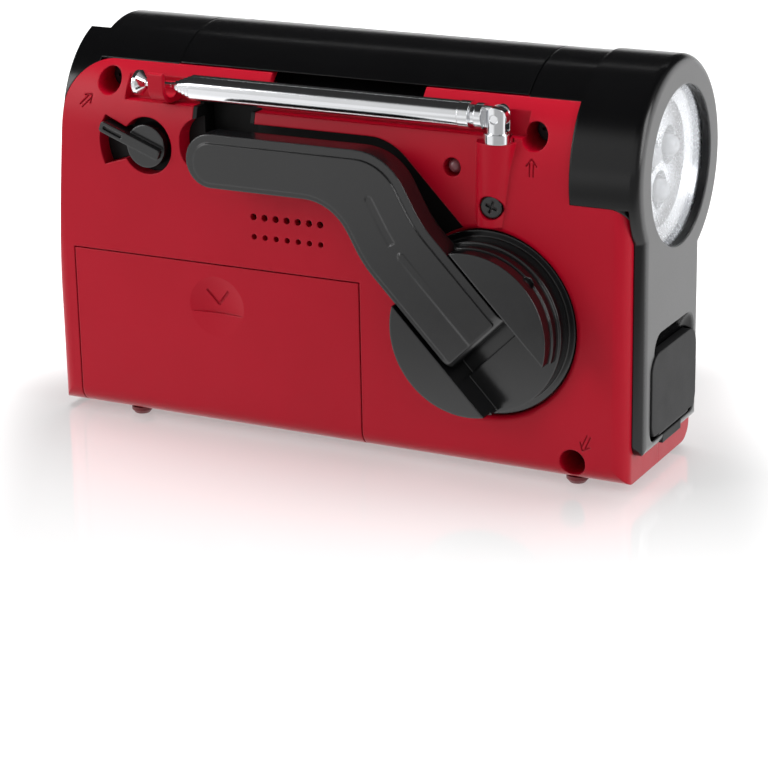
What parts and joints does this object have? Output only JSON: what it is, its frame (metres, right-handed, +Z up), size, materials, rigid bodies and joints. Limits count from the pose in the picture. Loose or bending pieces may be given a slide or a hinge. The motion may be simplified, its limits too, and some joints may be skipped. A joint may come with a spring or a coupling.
{
  "type": "hand-crank weather radio",
  "caption": "Red hand-crank radio with a barrel top, lamp head at one end, folding crank, telescopic antenna, carry handle, battery door, tuning knob and speaker.",
  "frame": {"origin": "middle of the bounding box on the floor plane under the feet, rest pose", "axes": "+X along the case towards the lamp head, +Y from the crank side to the speaker side, +Z up"},
  "size_m": [0.1702, 0.0658, 0.1066],
  "materials": {
    "red_case": "moulded red, semi-gloss",
    "black_gloss": "moulded black, gloss",
    "rubber": "matt moulded rubber",
    "foot_rubber": "matt",
    "chrome": "polished",
    "steel": "plain",
    "clear": "clear moulding",
    "brass": "turned",
    "gear_plastic": "moulded",
    "inner_black": "moulded",
    "cell_wrap": "plain sleeve",
    "board_green": "board",
    "pointer_red": "moulded"
  },
  "bodies": {
    "casing": {"rear_cover": "red_case", "crank_bed": "inner_black", "front_cover": "red_case", "top_cover": "black_gloss", "handle_pins": "steel", "head_shell": "black_gloss", "lens": "clear", "reflector": "chrome", "lamp_leds": "clear", "lamp_board": "board_green", "jack_cover_tab": "rubber", "power_jacks": "inner_black", "jack_pins": "steel", "battery_tray": "inner_black", "aa_cells": "cell_wrap", "battery_contacts": "steel", "rechargeable_pack": "cell_wrap", "hub_bush": "brass", "idler_pin": "steel", "gear_plate": "steel", "dynamo_can": "steel", "antenna_post": "chrome", "antenna_pin": "chrome", "antenna_screw": "black_gloss", "selector_plate": "inner_black", "selector_switch": "inner_black", "charge_led": "pointer_red", "speaker": "inner_black", "dial_window": "clear", "dial_scale": "gear_plastic", "volume_pot": "inner_black", "band_switch": "inner_black", "lamp_switch": "inner_black", "circuit_board": "board_green", "feet": "foot_rubber", "case_screws": "steel"},
    "handle": {"carry_handle": "black_gloss"},
    "battery_door": {"battery_door": "red_case", "door_foot": "foot_rubber"},
    "jack_cover": {"jack_cover": "rubber"},
    "crank_hub": {"crank_hub": "black_gloss", "crank_pin": "steel", "drive_gear": "gear_plastic", "hub_clip": "steel"},
    "crank_arm": {"crank_arm": "black_gloss"},
    "idler": {"idler_gear": "gear_plastic"},
    "rotor": {"dynamo_rotor": "steel"},
    "antenna_tube": {"antenna_tube": "chrome"},
    "antenna_section_2": {"antenna_section_2": "chrome"},
    "antenna_section_3": {"antenna_section_3": "chrome"},
    "antenna_section_4": {"antenna_section_4": "chrome"},
    "antenna_section_5": {"antenna_section_5": "chrome"},
    "antenna_rod": {"antenna_rod": "chrome", "antenna_tip": "chrome"},
    "selector": {"selector_knob": "black_gloss"},
    "tuning_knob": {"tuning_knob": "black_gloss"},
    "dial_pointer": {"dial_pointer": "pointer_red"},
    "volume_knob": {"volume_knob": "black_gloss"},
    "band_knob": {"band_knob": "black_gloss"},
    "lamp_button": {"lamp_button": "black_gloss"}
  },
  "joints": [
    {"name": "crank_spin", "type": "hinge", "parent": "casing", "child": "crank_hub", "pos_m": [0.0435, -0.0217, 0.0404], "axis": [0, 1, 0], "continuous": true},
    {"name": "crank_fold", "type": "hinge", "parent": "crank_hub", "child": "crank_arm", "pos_m": [0.0435, -0.0293, 0.0404], "axis": [0.7193, 0, 0.6947], "range_deg": [0, 180]},
    {"name": "idler_spin", "type": "hinge", "parent": "casing", "child": "idler", "pos_m": [0.04971, -0.0217, 0.06358], "axis": [0, 1, 0], "continuous": true},
    {"name": "rotor_spin", "type": "hinge", "parent": "casing", "child": "rotor", "pos_m": [0.03308, -0.0217, 0.07318], "axis": [0, 1, 0], "continuous": true},
    {"name": "handle_raise", "type": "hinge", "parent": "casing", "child": "handle", "pos_m": [-0.0017, 0.02631, 0.08836], "axis": [-1, 0, 0], "range_deg": [0, 75]},
    {"name": "battery_door_slide", "type": "slide", "parent": "casing", "child": "battery_door", "axis": [0, 0, -1], "range_m": [0, 0.045]},
    {"name": "jack_cover_open", "type": "hinge", "parent": "casing", "child": "jack_cover", "pos_m": [0.0839, -0.0217, 0.0132], "axis": [0, 1, 0], "range_deg": [0, 95]},
    {"name": "selector_turn", "type": "hinge", "parent": "casing", "child": "selector", "pos_m": [-0.054, -0.0217, 0.0768], "axis": [0, 1, 0], "range_deg": [-36, 0]},
    {"name": "antenna_raise", "type": "hinge", "parent": "casing", "child": "antenna_tube", "pos_m": [0.0473, -0.0217, 0.0936], "axis": [0, 1, 0], "range_deg": [0, 135]},
    {"name": "antenna_extend", "type": "slide", "parent": "antenna_tube", "child": "antenna_section_2", "axis": [-1, 0, 0], "range_m": [0, 0.0665]},
    {"name": "antenna_extend_3", "type": "slide", "parent": "antenna_section_2", "child": "antenna_section_3", "axis": [-1, 0, 0], "range_m": [0, 0.0665]},
    {"name": "antenna_extend_4", "type": "slide", "parent": "antenna_section_3", "child": "antenna_section_4", "axis": [-1, 0, 0], "range_m": [0, 0.0665]},
    {"name": "antenna_extend_5", "type": "slide", "parent": "antenna_section_4", "child": "antenna_section_5", "axis": [-1, 0, 0], "range_m": [0, 0.0665]},
    {"name": "antenna_extend_6", "type": "slide", "parent": "antenna_section_5", "child": "antenna_rod", "axis": [-1, 0, 0], "range_m": [0, 0.0665]},
    {"name": "tuning_turn", "type": "hinge", "parent": "casing", "child": "tuning_knob", "pos_m": [-0.0017, 0.0053, 0.079], "axis": [1, 0, 0], "range_deg": [0, 270]},
    {"name": "dial_pointer_slide", "type": "slide", "parent": "casing", "child": "dial_pointer", "axis": [1, 0, 0], "range_m": [0, 0.0475]},
    {"name": "volume_turn", "type": "hinge", "parent": "casing", "child": "volume_knob", "pos_m": [-0.0177, -0.0217, 0.018], "axis": [0, 1, 0], "range_deg": [0, 270]},
    {"name": "band_slide", "type": "slide", "parent": "casing", "child": "band_knob", "axis": [1, 0, 0], "range_m": [0, 0.0093]},
    {"name": "lamp_press", "type": "slide", "parent": "casing", "child": "lamp_button", "axis": [0, -1, 0], "range_m": [0, 0.0015], "stiffness_N_per_m": 400}
  ],
  "couplings": [
    {"joint": "idler_spin", "follows": "crank_spin", "ratio": -4},
    {"joint": "rotor_spin", "follows": "crank_spin", "ratio": 12},
    {"joint": "dial_pointer_slide", "follows": "tuning_turn", "m_per_rad": 0.01},
    {"joint": "antenna_extend_3", "follows": "antenna_extend", "ratio": 1},
    {"joint": "antenna_extend_4", "follows": "antenna_extend", "ratio": 1},
    {"joint": "antenna_extend_5", "follows": "antenna_extend", "ratio": 1},
    {"joint": "antenna_extend_6", "follows": "antenna_extend", "ratio": 1}
  ]
}
